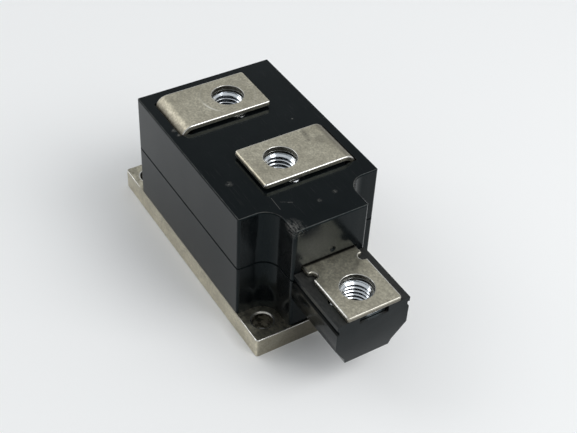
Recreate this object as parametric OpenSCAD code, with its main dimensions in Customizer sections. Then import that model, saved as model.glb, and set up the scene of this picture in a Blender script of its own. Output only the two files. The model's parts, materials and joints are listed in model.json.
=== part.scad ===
// Thyristor module: two pressed thyristor stacks on a flat base plate, under a black two-part housing.
// The base plate's underside lies on z = 0, and the low front terminal points along +X.

/* [Base plate] */
// Distance between the mounting holes along the plate
mount_x = 80; // [78:0.5:96]
// Distance between the mounting holes across the plate
mount_y = 38; // [37:0.5:48]
// Diameter of a mounting hole
mount_d = 6.5; // [5:0.1:7]
// Chamfer round the top of a mounting hole
mount_chamfer = 0.4; // [0.2:0.1:0.8]
// From a mounting hole to the plate's end
mount_end = 7; // [6:0.5:10]
// From a mounting hole to the plate's side
mount_side = 6; // [5.5:0.5:9]
// Thickness of the base plate
base_t = 7.4; // [6.5:0.1:10]
// Radius of the plate's corners
base_corner_r = 1; // [0.5:0.1:3]

/* [Housing] */
// Set-back of the housing's sides from the plate's sides
housing_inset = 0.2; // [0.1:0.1:1]
// Radius of the screw pocket round each mounting hole
pocket_r = 6; // [5.5:0.1:6.5]
// Set-back of the front tower from the plate's end
tower_inset = 0.7; // [0.3:0.1:2]
// Radius of the towers' upright corners
tower_corner_r = 1.2; // [0.8:0.1:2]
// Radius of the body's upright corners
body_corner_r = 0.9; // [0.7:0.1:2]
// Radius of the lid's top edges
top_edge_r = 0.6; // [0.3:0.1:0.6]
// Thickness of the housing's walls
wall = 2.2; // [1.8:0.1:2.6]
// Thickness of the lid's roof
roof_t = 2.4; // [1.8:0.1:3]
// Height of the lower housing
lower_h = 19.4; // [17:0.2:22]
// Shadow gap between the lower housing and the lid
parting_gap = 0.3; // [0.1:0.05:0.6]
// Height of the tongue that the lid sits on
lip_h = 1.6; // [1:0.1:2.5]
// Thickness of that tongue
lip_t = 1; // [0.7:0.1:1.3]
// Clearance round the tongue
lip_clear = 0.1; // [0.05:0.05:0.2]
// Diameter of the round moulding mark on the tower
mark_d = 1.2; // [0.8:0.1:1.5]
// Depth of that mark
mark_depth = 0.6; // [0.4:0.05:0.9]
// Diameter of the mark's flared rim
mark_rim_d = 2.4; // [1.7:0.1:2.6]
// Depth of that rim
mark_rim_h = 0.3; // [0.1:0.05:0.35]
// Height of the mark over the low tab
mark_rise = 2.4; // [2.2:0.1:6]
// Sideways place of the mark
mark_y = 1; // [-4:0.1:4]

/* [Front block] */
// Reach of the block in front of the tower
block_reach = 24.4; // [23:0.1:28]
// Set-back of the block's sides from the tower's sides
block_inset = 0.3; // [0.2:0.1:1]
// Height of the block
block_h = 19.2; // [17:0.1:21]
// Rise of the block over the lower housing
block_rise = 3.2; // [2.5:0.1:4.5]
// Height of the block's upright sides
block_side_h = 10.4; // [8:0.1:12]
// Width of the block's underside
block_foot_w = 15.8; // [12:0.1:18]
// Height of the steep foot below the sloping sides
block_foot_h = 2.2; // [1:0.1:4]
// Widening of that foot on each side
block_foot_flare = 0.6; // [0.2:0.1:1.5]
// Set-back of the front face at its lower edge
block_rake = 1.2; // [0.5:0.1:2]
// Gap between the raised part of the block and the tower
block_gap = 0.2; // [0.1:0.05:0.5]
// Height of the groove along each side of the block
groove_h = 2.1; // [1:0.1:2.5]
// Depth of that groove
groove_depth = 0.7; // [0.3:0.1:1]
// Drop of the groove's floor below the parting plane
groove_drop = 0.5; // [0.2:0.1:1]
// Width of the window in front of the captive nut
window_w = 10.2; // [8:0.1:12]
// Height of that window
window_h = 2.4; // [1.5:0.1:3.5]

/* [Terminals] */
// Width of a terminal tab
tab_w = 19; // [18:0.1:20]
// Thickness of the busbars
strip_t = 1.8; // [1.5:0.1:2.1]
// Diameter of the hole in a tab
tab_hole_d = 10.6; // [10.4:0.1:11.4]
// From a top tab's hole to its free end
tab_end = 10.9; // [9.5:0.1:13]
// Shift of a top tab's hole from the middle towards the free end
tab_hole_y = 0.7; // [0:0.1:1.5]
// Radius of the tabs' corners
tab_corner_r = 0.9; // [0.4:0.1:2]
// Rounding of the top edge at a top tab's free end
tab_roll_r = 0.8; // [0.3:0.1:1.2]
// Outer radius of the bend of a top tab
top_bend_r = 4; // [3.6:0.1:4.6]
// Inner radius of the bends inside
bend_r = 1.2; // [0.8:0.1:1.6]
// Gap between the lid and the top tabs
tab_gap = 0.65; // [0.4:0.05:1]
// Gap between the block and the low tab
low_tab_gap = 0.1; // [0.05:0.05:0.4]
// From the low tab's hole to its front edge
low_tab_end = 9.6; // [9.4:0.1:11]
// Overhang of the low tab in front of the block
low_tab_over = 0.15; // [0.05:0.05:0.5]
// From the tower's face back to the low tab's riser
riser_back = 3.7; // [3.6:0.1:4.5]
// From the tower's face to the middle of the relief notches
notch_x = 4.7; // [3:0.1:5]
// Width of a relief notch
notch_w = 2.8; // [1.5:0.1:3.5]
// Depth of a relief notch
notch_depth = 2; // [1.8:0.1:3]
// From the housing's side to a top tab's riser
riser_margin = 3.8; // [3.2:0.1:4.2]
// Clearance of the busbars in the lid's slots
slot_clear = 0.3; // [0.2:0.05:0.5]
// Gap over the low tab in the lid's front slot
low_slot_gap = 0.45; // [0.2:0.05:0.8]
// Width of a busbar's leg inside
leg_w = 15; // [12:0.5:15.5]
// Reach of a leg past the middle of its stack
leg_reach = 9.5; // [8:0.1:10]
// Reach of the common busbar past the middle of the rear stack
common_reach = 11; // [10:0.1:11.4]
// Shift of the rear tab from its stack, to the rear
rear_tab_shift = 2.9; // [2:0.1:3.5]
// Shift of the front tab from its stack, to the front
front_tab_shift = 1.5; // [1:0.1:3]

/* [Captive nuts] */
// Width across the flats of a nut
nut_af = 17; // [16:0.1:17.2]
// Height of a nut
nut_h = 8; // [7:0.1:8.8]
// Diameter of a nut's threaded bore
nut_bore_d = 8.5; // [8.3:0.05:8.7]
// Countersink at each end of the bore
nut_sink = 0.6; // [0.3:0.1:1]
// Chamfer of the nut's corners, from the flats inwards
nut_bevel = 0.5; // [0.2:0.1:1]
// Rise of the top nuts over the lid
nut_proud = 0.2; // [0.1:0.05:0.35]
// Drop of the low nut below the block's top
low_nut_drop = 0.3; // [0.1:0.05:0.8]
// Clearance round a nut in its pocket
nut_clear = 0.15; // [0.05:0.05:0.3]
// Diameter of the room for the bolt's end below a nut
bolt_room_d = 11.2; // [10.5:0.1:13]
// Depth of that room
bolt_room_h = 3.5; // [2.5:0.1:5]
// Wall round a nut pocket in the lid
boss_wall = 2; // [1.5:0.1:2.4]
// Floor of a nut pocket's boss
boss_floor = 1.5; // [1:0.1:2.5]

/* [Thyristor stacks] */
// From the housing's inner end wall to the middle of a stack
stack_margin = 16; // [15.5:0.1:17]
// Diameter of an insulating ceramic disc
ceramic_d = 26; // [24.5:0.1:26.8]
// Thickness of a ceramic disc
ceramic_t = 1.5; // [1:0.1:2.5]
// Diameter of the round pad of a lower busbar
pad_d = 23; // [22:0.1:24]
// Diameter of a lower molybdenum disc
lower_disc_d = 22; // [20:0.1:22.8]
// Thickness of a lower molybdenum disc
lower_disc_t = 1.5; // [1:0.1:2.5]
// Diameter of a thyristor pellet
pellet_d = 22; // [20:0.1:22.8]
// Thickness of a thyristor pellet
pellet_t = 1.2; // [0.8:0.1:2]
// Diameter of an upper contact disc
contact_d = 20; // [18:0.1:21]
// Diameter of the gate's bore in a contact disc
gate_bore_d = 5; // [4.8:0.1:6]
// Width of the gate lead's slot in a contact disc
gate_slot_w = 2; // [1.8:0.1:2.4]
// Clearance round the gate's pieces
gate_clear = 0.1; // [0.05:0.05:0.2]
// Height of a gate bush
gate_bush_h = 1.2; // [1:0.1:1.6]
// Diameter of a gate pin's tip
gate_tip_d = 1.6; // [1:0.1:2]
// Width of a gate pin's square head
gate_head_w = 2.4; // [2.2:0.1:2.8]
// Height of a gate pin's head
gate_head_h = 1.8; // [1.6:0.1:2.2]
// Outer diameter of a gate spring's discs
gate_spring_d = 4; // [3.4:0.1:4.4]
// Inner diameter of those discs
gate_spring_bore_d = 1.6; // [1.2:0.1:2]
// Thickness of those discs
gate_spring_t = 0.3; // [0.2:0.05:0.4]
// Cone height of those discs
gate_spring_cone = 0.4; // [0.2:0.05:0.6]
// Thickness of the insulating button over a gate spring
gate_button_t = 0.6; // [0.4:0.1:1]
// Thickness of a pressure cap below the springs
cap_t = 2.5; // [2:0.1:3.5]
// Thickness of the cap's rim round the springs
cap_rim_t = 1; // [0.6:0.1:1.4]
// Height of that rim
cap_rim_h = 1; // [0.5:0.1:1.5]
// Outer diameter of a disc spring
spring_d = 20; // [18:0.1:20.4]
// Inner diameter of a disc spring
spring_bore_d = 10.2; // [9.4:0.1:12]
// Thickness of a disc spring
spring_t = 1.1; // [0.8:0.05:1.4]
// Cone height of a disc spring
spring_cone = 0.3; // [0.2:0.05:0.6]
// Clearance round the disc springs
spring_clear = 0.2; // [0.1:0.05:0.4]

/* [Clamps] */
// Distance of a clamp screw from its stack, along the plate
screw_x = 10; // [9.5:0.1:10.5]
// Distance of a clamp screw from its stack, across the plate
screw_y = 13.5; // [13.2:0.1:13.8]
// Diameter of a clamp screw
screw_d = 5; // [4:0.1:5.2]
// Depth of a clamp screw in the base plate
screw_depth = 5; // [4:0.1:5.4]
// Room below a clamp screw's end
screw_room = 0.5; // [0.3:0.1:0.8]
// Clearance between a screw and the holes that it passes
screw_clear = 0.1; // [0.05:0.05:0.2]
// Width across the flats of a clamp screw's head
screw_af = 8; // [7:0.1:8.4]
// Height of a clamp screw's head
screw_head_h = 3.5; // [2.5:0.1:4.5]
// Wall of the sleeve round a clamp screw
sleeve_t = 0.4; // [0.3:0.05:0.5]
// Thickness of a clamp bridge
bridge_t = 3.5; // [2.5:0.1:5]
// Width of a clamp bridge
bridge_w = 9.6; // [9:0.1:10.2]
// Diameter of a clamp bridge's round middle
bridge_mid_d = 20; // [18:0.1:22]
// Room between the clamp screws and the lid's bosses
head_clear = 1.9; // [1:0.1:3]

/* [Signal tabs] */
// Set-back of the rear shelf from the plate's end
shelf_inset = 1.5; // [1:0.1:2.5]
// Room between the leads and the shelf's roof
shelf_room = 0.3; // [0.2:0.1:1]
// Width of a push-on tab
spade_w = 2.8; // [2.4:0.1:3]
// Thickness of a push-on tab
spade_t = 0.8; // [0.5:0.1:1]
// Height of a push-on tab over the shelf
spade_h = 6.8; // [6:0.1:8]
// Diameter of the latch hole in a push-on tab
spade_hole_d = 1.3; // [1:0.1:1.5]
// Width of the shoulder on each side of a push-on tab
spade_shoulder = 0.4; // [0.3:0.1:0.6]
// Height of that shoulder
spade_shoulder_h = 1.5; // [1:0.1:2]
// Length of a push-on tab's tail below its gate lead
spade_tail = 0.9; // [0.5:0.1:2]
// From the housing's rear wall to the push-on tabs
spade_back = 5.5; // [5:0.1:7]
// From the shelf's inner side to an outer push-on tab
spade_margin = 2.3; // [2.2:0.1:2.5]
// Distance between two push-on tabs of a pair
spade_pitch = 4.8; // [4.2:0.1:5]
// Clearance of the push-on tabs in the shelf
spade_clear = 0.1; // [0.05:0.05:0.2]
// Diameter of a signal lead
lead_d = 1.2; // [0.8:0.1:1.3]
// Gap between the front stack's leads and the risers beside them
lead_side_gap = 0.7; // [0.5:0.1:0.8]
// Gap between the front stack's leads and the rear wall
lead_end_gap = 0.4; // [0.3:0.1:0.6]
// Distance between the rear gate lead and the front stack's leads
lead_pitch = 1.5; // [1.4:0.1:1.7]

/* [Hidden] */
$fn = 64;

// Longer than anything that it cuts
far = 200;
// Overlap of shapes that are joined into one piece, or that cut right through one
joint = 1;
// Straight run at each end of a bend, which overlaps the strip that goes on from it
bend_run = 0.4;

// Plan of the plate and the housing
base_l = mount_x + 2 * mount_end;
base_w = mount_y + 2 * mount_side;
housing_w = base_w - 2 * housing_inset;
body_end = mount_x / 2 - pocket_r;
tower_half = mount_y / 2 - pocket_r;
tower_front = base_l / 2 - tower_inset;
shelf_rear = base_l / 2 - shelf_inset;
cavity_end = body_end - wall;
cavity_half = housing_w / 2 - wall;
tower_cavity_half = tower_half - wall;
stack_x = cavity_end - stack_margin;
rear_tab_x = -stack_x - rear_tab_shift;
front_tab_x = stack_x + front_tab_shift;

// Levels of the stacks, from the base plate up
z_low_bus = base_t + ceramic_t;
z_lower_disc = z_low_bus + strip_t;
z_pellet = z_lower_disc + lower_disc_t;
z_contact = z_pellet + pellet_t;
z_gate_head = z_contact + gate_bush_h;
z_lead = z_gate_head + gate_head_h / 2;
z_gate_spring = z_gate_head + gate_head_h;
z_gate_button = z_gate_spring + 2 * (gate_spring_t + gate_spring_cone);
z_high_bus = z_gate_button + gate_button_t;
contact_t = z_high_bus - z_contact;
z_cap = z_high_bus + strip_t;
z_springs = z_cap + cap_t;
z_bridge = z_springs + 2 * (spring_t + spring_cone);
z_head = z_bridge + bridge_t;

// Levels of the housing and the terminals
z_part = base_t + lower_h;
z_boss = z_head + screw_head_h + head_clear;
z_top_nut = z_boss + boss_floor + bolt_room_h;
z_top = z_top_nut + nut_h - nut_proud;
z_top_tab = z_top + tab_gap;
z_block = z_part + block_rise;
z_block_foot = z_block - block_h;
z_block_side = z_block - block_side_h;
z_low_tab = z_block + low_tab_gap;
z_low_nut = z_block - low_nut_drop - nut_h;

// Places of the terminals
block_half = tower_half - block_inset;
block_front = tower_front + block_reach;
low_tab_front = block_front + low_tab_over;
low_hole_x = low_tab_front - low_tab_end;
low_riser_x = tower_front - riser_back - strip_t;
riser_out = housing_w / 2 - riser_margin;
tab_end_y = -tab_hole_y - tab_end;
nut_corner_r = nut_af / sqrt(3);
nut_pocket_r = (nut_af + 2 * nut_clear) / sqrt(3);
boss_r = nut_pocket_r + boss_wall;
common_rear_x = -stack_x - common_reach;

// Places of the clamp screws, the push-on tabs and the leads
screw_hole_d = screw_d + 2 * screw_clear;
clamp_reach = sqrt(screw_x * screw_x + screw_y * screw_y);
clamp_turn = -atan2(screw_y, screw_x);
z_high_lead = z_high_bus + strip_t / 2;
z_shelf_under = z_high_lead + lead_d / 2 + shelf_room;
z_shelf = z_shelf_under + wall;
spade_x = -body_end - spade_back;
spade_outer_y = tower_cavity_half - spade_margin;
spade_inner_y = spade_outer_y - spade_pitch;
lead_side_y = riser_out - strip_t - lead_side_gap - lead_d / 2;
lead_end_x = -cavity_end + lead_end_gap + lead_d / 2;
lead_rear_x = lead_end_x + lead_pitch;
lead_tab_x = spade_x + spade_t / 2;

// Where each top tab has its hole, and the side on which its riser stands
TOP_TERMINALS = [[front_tab_x, -tab_hole_y, 1], [rear_tab_x, tab_hole_y, -1]];
// Each stack has two clamp screws on one diagonal
SCREW_PLACES = [for (s = [-1, 1], e = [-1, 1]) [s * stack_x + e * screw_x, -e * screw_y]];
SPADE_PLACES = [-spade_outer_y, -spade_inner_y, spade_inner_y, spade_outer_y];

// Tints of the materials
NICKEL = [0.75, 0.73, 0.67];
PLASTIC = [0.07, 0.075, 0.08];
ZINC = [0.78, 0.80, 0.83];
CERAMIC = [0.93, 0.92, 0.88];
MOLYBDENUM = [0.55, 0.56, 0.58];
SILICON = [0.30, 0.32, 0.38];
COPPER = [0.80, 0.50, 0.32];
BRASS = [0.85, 0.72, 0.35];
STEEL = [0.50, 0.52, 0.54];
NATURAL_PLASTIC = [0.88, 0.85, 0.75];
GATE_LEAD = [0.92, 0.92, 0.88];
CATHODE_LEAD = [0.75, 0.10, 0.08];

// Shapes that several pieces use

// A rectangle about the origin with round corners
module rounded_rect(l, w, r) {
    square([l - 2 * r, w], center = true);
    square([l, w - 2 * r], center = true);
    for (sx = [-1, 1], sy = [-1, 1])
        translate([sx * (l / 2 - r), sy * (w / 2 - r)])
            circle(r);
}

// A rectangle from one corner to the opposite one
module span(x0, y0, x1, y1) {
    translate([x0, y0])
        square([x1 - x0, y1 - y0]);
}

// A section drawn as (x, z), thickened across the module
module along_y(width) {
    rotate([90, 0, 0])
        linear_extrude(width, center = true)
            children();
}

// A section drawn as (y, z), thickened along the module
module along_x(width) {
    rotate([90, 0, 90])
        linear_extrude(width, center = true)
            children();
}

// A quarter turn of a strip's section, from angle a to a + 90, with a short straight run at each end
module bend(inner_r, a) {
    rotate(a) {
        intersection() {
            difference() {
                circle(inner_r + strip_t);
                circle(inner_r);
            }
            square(inner_r + 2 * strip_t);
        }
        span(inner_r, -bend_run, inner_r + strip_t, 0);
        span(-bend_run, inner_r, 0, inner_r + strip_t);
    }
}

// A pair of conical disc springs that meet at their outer rims
module spring_pair(outer_d, inner_d, t, cone) {
    r_in = inner_d / 2;
    r_out = outer_d / 2;
    high = t + cone;
    rotate_extrude()
        polygon([[r_in, 0], [r_out, cone], [r_out, high], [r_in, t]]);
    translate([0, 0, high])
        rotate_extrude()
            polygon([[r_in, cone], [r_out, 0], [r_out, t], [r_in, high]]);
}

// Base plate

module mounting_hole() {
    translate([0, 0, -joint])
        cylinder(d = mount_d, h = base_t + 2 * joint);
    translate([0, 0, base_t - mount_chamfer])
        cylinder(d1 = mount_d, d2 = mount_d + 2 * (mount_chamfer + joint), h = mount_chamfer + joint);
}

module base_plate() {
    color(NICKEL)
        difference() {
            linear_extrude(base_t)
                rounded_rect(base_l, base_w, base_corner_r);
            for (sx = [-1, 1], sy = [-1, 1])
                translate([sx * mount_x / 2, sy * mount_y / 2, 0])
                    mounting_hole();
            for (p = SCREW_PLACES)
                translate([p[0], p[1], base_t - screw_depth - screw_room])
                    cylinder(d = screw_hole_d, h = base_t);
        }
}

// Housing

// The narrow end between two screw pockets, along +X, as a centre and a size for a rounded rectangle
function tower_size(reach) = [reach - body_end + 2 * wall, 2 * tower_half];
function tower_middle(reach) = reach - tower_size(reach)[0] / 2;

// The round inner corners of the two screw pockets at the +X end
module pocket_corners() {
    for (s = [0, 1])
        mirror([0, s])
            difference() {
                span(body_end - joint, tower_half - joint, mount_x / 2, mount_y / 2);
                translate([mount_x / 2, mount_y / 2])
                    circle(pocket_r);
            }
}

module tower_plan(reach) {
    translate([tower_middle(reach), 0])
        rounded_rect(tower_size(reach)[0], tower_size(reach)[1], tower_corner_r);
    pocket_corners();
}

module cavity_plan() {
    square([2 * cavity_end, 2 * cavity_half], center = true);
    span(0, -tower_cavity_half, tower_front - wall, tower_cavity_half);
}

// Outline of the tongue between the two housings, grown by a clearance
module lip_plan(grow) {
    square([2 * (cavity_end + lip_t + grow), 2 * (cavity_half + lip_t + grow)], center = true);
}

// A block of the lid about the origin, with round upright corners and round top edges
module lid_block(l, w, corner_r, z0) {
    intersection() {
        translate([0, 0, z0])
            linear_extrude(z_top - z0)
                rounded_rect(l, w, corner_r);
        along_x(far)
            translate([0, z_top / 2])
                rounded_rect(w, z_top, top_edge_r);
        along_y(far)
            translate([0, z_top / 2])
                rounded_rect(l, z_top, top_edge_r);
    }
}

// The lid's part of the pockets' inner corners, with the round top edge carried through
module lid_pocket_corners(z0) {
    difference() {
        translate([0, 0, z0])
            linear_extrude(z_top - z0)
                pocket_corners();
        for (s = [-1, 1])
            translate([mount_x / 2, s * mount_y / 2, z_top - top_edge_r])
                rotate_extrude()
                    difference() {
                        span(pocket_r - joint, 0, pocket_r + top_edge_r, top_edge_r + joint);
                        translate([pocket_r + top_edge_r, 0])
                            circle(top_edge_r);
                    }
    }
}

// The front block as seen from the front, in (y, z)
module block_front_section() {
    foot = block_foot_w / 2;
    flare = foot + block_foot_flare;
    z_flare = z_block_foot + block_foot_h;
    polygon([[-block_half, z_block], [-block_half, z_block_side], [-flare, z_flare], [-foot, z_block_foot],
        [foot, z_block_foot], [flare, z_flare], [block_half, z_block_side], [block_half, z_block]]);
}

// The front block as seen from the side, in (x, z)
module block_side_section() {
    x_in = tower_front - wall;
    polygon([[x_in, z_block_foot], [block_front - block_rake, z_block_foot], [block_front, z_block_side],
        [block_front, z_block], [x_in, z_block]]);
}

module front_block() {
    difference() {
        intersection() {
            along_y(2 * block_half)
                block_side_section();
            along_x(far)
                block_front_section();
        }
        for (s = [0, 1])
            mirror([0, s, 0]) {
                translate([tower_front, block_half - groove_depth, z_part - groove_drop])
                    cube([far, far, groove_h]);
                translate([tower_front - 2 * wall, tab_w / 2, z_part])
                    cube([2 * wall + block_gap, far, far]);
            }
    }
}

// Pocket of a captive nut with the room for the bolt's end below it, from the nut's underside up
module nut_pocket() {
    cylinder(r = nut_pocket_r, h = far, $fn = 6);
    translate([0, 0, -bolt_room_h])
        cylinder(d = bolt_room_d, h = bolt_room_h + joint);
}

module lower_housing() {
    color(PLASTIC)
        difference() {
            union() {
                translate([0, 0, base_t])
                    linear_extrude(lower_h) {
                        rounded_rect(2 * body_end, housing_w, body_corner_r);
                        tower_plan(tower_front);
                    }
                translate([0, 0, base_t])
                    linear_extrude(z_shelf - base_t)
                        mirror([1, 0])
                            tower_plan(shelf_rear);
                translate([0, 0, z_part - joint])
                    linear_extrude(lip_h + joint)
                        lip_plan(0);
                front_block();
            }
            linear_extrude(far)
                cavity_plan();
            linear_extrude(z_shelf_under)
                span(-shelf_rear + wall, -tower_cavity_half, 0, tower_cavity_half);
            translate([low_hole_x, 0, z_low_nut])
                rotate(30)
                    nut_pocket();
            translate([low_hole_x, -window_w / 2, z_block - window_h])
                cube([far, window_w, far]);
            for (y = SPADE_PLACES)
                translate([spade_x, y, z_shelf])
                    cube([spade_t + 2 * spade_clear, spade_w + 2 * spade_clear, 3 * wall], center = true);
        }
}

// Slot in the lid's roof for a riser on the +Y side
module riser_slot() {
    translate([-tab_w / 2 - slot_clear, riser_out - top_bend_r, z_top - 2 * roof_t])
        cube([tab_w + 2 * slot_clear, top_bend_r + slot_clear, far]);
}

// Cut of the round mark with its flared rim, below the plane z = 0
module mark() {
    r = mark_d / 2;
    rim_r = mark_rim_d / 2;
    rotate_extrude()
        polygon([[0, -mark_depth], [r, -mark_depth], [r, -mark_rim_h], [rim_r, 0], [rim_r, joint], [0, joint]]);
}

module upper_housing() {
    z_rim = z_part + parting_gap;
    z_slot = z_low_tab + strip_t + low_slot_gap;
    color(PLASTIC)
        difference() {
            union() {
                difference() {
                    union() {
                        lid_block(2 * body_end, housing_w, body_corner_r, z_rim);
                        translate([tower_middle(tower_front), 0, 0])
                            lid_block(tower_size(tower_front)[0], 2 * tower_half, tower_corner_r, z_rim);
                        lid_pocket_corners(z_rim);
                    }
                    linear_extrude(z_top - roof_t)
                        cavity_plan();
                }
                for (t = TOP_TERMINALS)
                    translate([t[0], t[1], z_boss])
                        cylinder(r = boss_r, h = z_top - z_boss);
            }
            linear_extrude(z_part + lip_h)
                lip_plan(lip_clear);
            for (t = TOP_TERMINALS) {
                translate([t[0], t[1], z_top_nut])
                    nut_pocket();
                translate([t[0], 0, 0])
                    mirror([0, t[2] > 0 ? 0 : 1, 0])
                        riser_slot();
            }
            translate([tower_front - 2 * wall, -tab_w / 2 - slot_clear, z_part])
                cube([far, tab_w + 2 * slot_clear, z_slot - z_part]);
            translate([tower_front, mark_y, z_low_tab + strip_t + mark_rise])
                rotate([0, 90, 0])
                    mark();
        }
}

// Busbars and nuts

// Round hole of a tab, through the strip that starts at z
module tab_hole(z) {
    translate([0, 0, z - joint])
        cylinder(d = tab_hole_d, h = strip_t + 2 * joint);
}

// Riser and tab of a top busbar as (y, z), rising on the +Y side from a leg at z_leg
module top_tab_section(z_leg) {
    z_upper = z_top_tab + strip_t;
    z_roll = z_upper - tab_roll_r;
    y_roll = tab_end_y + tab_roll_r;
    y_bend = riser_out - top_bend_r;
    z_bend = z_upper - top_bend_r;
    z_low_bend = z_leg + strip_t + bend_r;
    span(y_roll, z_top_tab, y_bend, z_upper);
    span(tab_end_y, z_top_tab, y_roll, z_roll);
    translate([y_roll, z_roll])
        circle(tab_roll_r);
    translate([y_bend, z_bend])
        bend(top_bend_r - strip_t, 0);
    span(riser_out - strip_t, z_low_bend, riser_out, z_bend);
    translate([riser_out - strip_t - bend_r, z_low_bend])
        bend(bend_r, 270);
}

// A top busbar with its riser on the +Y side, and a narrower leg at z_leg
module top_busbar(z_leg) {
    difference() {
        intersection() {
            along_x(tab_w)
                top_tab_section(z_leg);
            translate([0, tab_end_y + far / 2, 0])
                linear_extrude(far)
                    rounded_rect(tab_w, far, tab_corner_r);
        }
        translate([0, -tab_hole_y, 0])
            tab_hole(z_top_tab);
    }
    translate([0, 0, z_leg])
        linear_extrude(strip_t)
            span(-leg_w / 2, -leg_reach, leg_w / 2, riser_out - strip_t - bend_r);
}

// Round pad of a low leg, under a stack
module stack_pad(x) {
    translate([x, 0, z_low_bus])
        cylinder(d = pad_d, h = strip_t);
}

module front_top_busbar() {
    color(NICKEL)
        translate([front_tab_x, 0, 0])
            top_busbar(z_high_bus);
}

module rear_top_busbar() {
    color(NICKEL) {
        translate([rear_tab_x, 0, 0])
            mirror([0, 1, 0])
                top_busbar(z_low_bus);
        stack_pad(-stack_x);
    }
}

// The common strip as (x, z): over the rear stack, down between the stacks, under the front one, up and out
module common_section() {
    half_t = strip_t / 2;
    z_high_bend = z_high_bus - bend_r;
    z_low_bend = z_low_bus + strip_t + bend_r;
    z_tab_bend = z_low_tab - bend_r;
    x_tab_bend = low_riser_x + strip_t + bend_r;
    span(common_rear_x, z_high_bus, -half_t - bend_r, z_high_bus + strip_t);
    translate([-half_t - bend_r, z_high_bend])
        bend(bend_r, 0);
    span(-half_t, z_low_bend, half_t, z_high_bend);
    translate([half_t + bend_r, z_low_bend])
        bend(bend_r, 180);
    span(half_t + bend_r, z_low_bus, low_riser_x - bend_r, z_low_bus + strip_t);
    translate([low_riser_x - bend_r, z_low_bend])
        bend(bend_r, 270);
    span(low_riser_x, z_low_bend, low_riser_x + strip_t, z_tab_bend);
    translate([x_tab_bend, z_tab_bend])
        bend(bend_r, 90);
    span(x_tab_bend, z_low_tab, low_tab_front, z_low_tab + strip_t);
}

// Round-ended relief notch in the low tab's edge on the +Y side
module relief_notch() {
    end_r = notch_w / 2;
    translate([tower_front + notch_x, tab_w / 2 - notch_depth + end_r, z_low_tab - joint])
        linear_extrude(strip_t + 2 * joint) {
            circle(end_r);
            span(-end_r, 0, end_r, notch_depth);
        }
}

module common_busbar() {
    color(NICKEL)
        difference() {
            union() {
                intersection() {
                    along_y(tab_w)
                        common_section();
                    translate([low_tab_front - far / 2, 0, 0])
                        linear_extrude(far)
                            rounded_rect(far, tab_w, tab_corner_r);
                }
                stack_pad(stack_x);
            }
            translate([low_hole_x, 0, 0])
                tab_hole(z_low_tab);
            for (s = [0, 1])
                mirror([0, s, 0])
                    relief_notch();
        }
}

// A hexagon nut with chamfered corners and a countersunk bore, standing on the origin
module nut() {
    face_r = nut_af / 2 - nut_bevel;
    drop = (nut_corner_r - face_r) * tan(30);
    bore_r = nut_bore_d / 2;
    intersection() {
        cylinder(r = nut_corner_r, h = nut_h, $fn = 6);
        rotate_extrude()
            polygon([[bore_r, nut_sink], [bore_r + nut_sink, 0], [face_r, 0], [nut_corner_r, drop],
                [nut_corner_r, nut_h - drop], [face_r, nut_h], [bore_r + nut_sink, nut_h],
                [bore_r, nut_h - nut_sink]]);
    }
}

module terminal_nuts() {
    color(ZINC) {
        for (t = TOP_TERMINALS)
            translate([t[0], t[1], z_top_nut])
                nut();
        translate([low_hole_x, 0, z_low_nut])
            rotate(30)
                nut();
    }
}

// Thyristor stacks: s is -1 for the rear one and 1 for the front one

module ceramic_disc(s) {
    color(CERAMIC)
        translate([s * stack_x, 0, base_t])
            cylinder(d = ceramic_d, h = ceramic_t);
}

module rear_ceramic_disc() {
    ceramic_disc(-1);
}

module front_ceramic_disc() {
    ceramic_disc(1);
}

module lower_disc(s) {
    color(MOLYBDENUM)
        translate([s * stack_x, 0, z_lower_disc])
            cylinder(d = lower_disc_d, h = lower_disc_t);
}

module rear_lower_disc() {
    lower_disc(-1);
}

module front_lower_disc() {
    lower_disc(1);
}

module thyristor_pellet(s) {
    color(SILICON)
        translate([s * stack_x, 0, z_pellet])
            cylinder(d = pellet_d, h = pellet_t);
}

module rear_thyristor_pellet() {
    thyristor_pellet(-1);
}

module front_thyristor_pellet() {
    thyristor_pellet(1);
}

// The slot for the gate lead runs to the rear in the rear disc, and to the -Y side in the front one
module contact_disc(s) {
    color(COPPER)
        translate([s * stack_x, 0, z_contact])
            difference() {
                cylinder(d = contact_d, h = contact_t);
                translate([0, 0, -joint])
                    cylinder(d = gate_bore_d, h = contact_t + 2 * joint);
                rotate(s > 0 ? -90 : 180)
                    translate([0, -gate_slot_w / 2, gate_bush_h])
                        cube([far, gate_slot_w, far]);
            }
}

module rear_contact_disc() {
    contact_disc(-1);
}

module front_contact_disc() {
    contact_disc(1);
}

module gate_bush(s) {
    color(NATURAL_PLASTIC)
        translate([s * stack_x, 0, z_contact])
            difference() {
                cylinder(d = gate_bore_d - 2 * gate_clear, h = gate_bush_h);
                translate([0, 0, -joint])
                    cylinder(d = gate_tip_d + 2 * gate_clear, h = gate_bush_h + 2 * joint);
            }
}

module rear_gate_bush() {
    gate_bush(-1);
}

module front_gate_bush() {
    gate_bush(1);
}

module gate_pin(s) {
    color(BRASS)
        translate([s * stack_x, 0, z_contact]) {
            cylinder(d = gate_tip_d, h = gate_bush_h);
            translate([-gate_head_w / 2, -gate_head_w / 2, gate_bush_h])
                cube([gate_head_w, gate_head_w, gate_head_h]);
        }
}

module rear_gate_pin() {
    gate_pin(-1);
}

module front_gate_pin() {
    gate_pin(1);
}

module gate_spring(s) {
    color(STEEL)
        translate([s * stack_x, 0, z_gate_spring])
            spring_pair(gate_spring_d, gate_spring_bore_d, gate_spring_t, gate_spring_cone);
}

module rear_gate_spring() {
    gate_spring(-1);
}

module front_gate_spring() {
    gate_spring(1);
}

module gate_button(s) {
    color(NATURAL_PLASTIC)
        translate([s * stack_x, 0, z_gate_button])
            cylinder(d = gate_bore_d - 2 * gate_clear, h = gate_button_t);
}

module rear_gate_button() {
    gate_button(-1);
}

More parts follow.
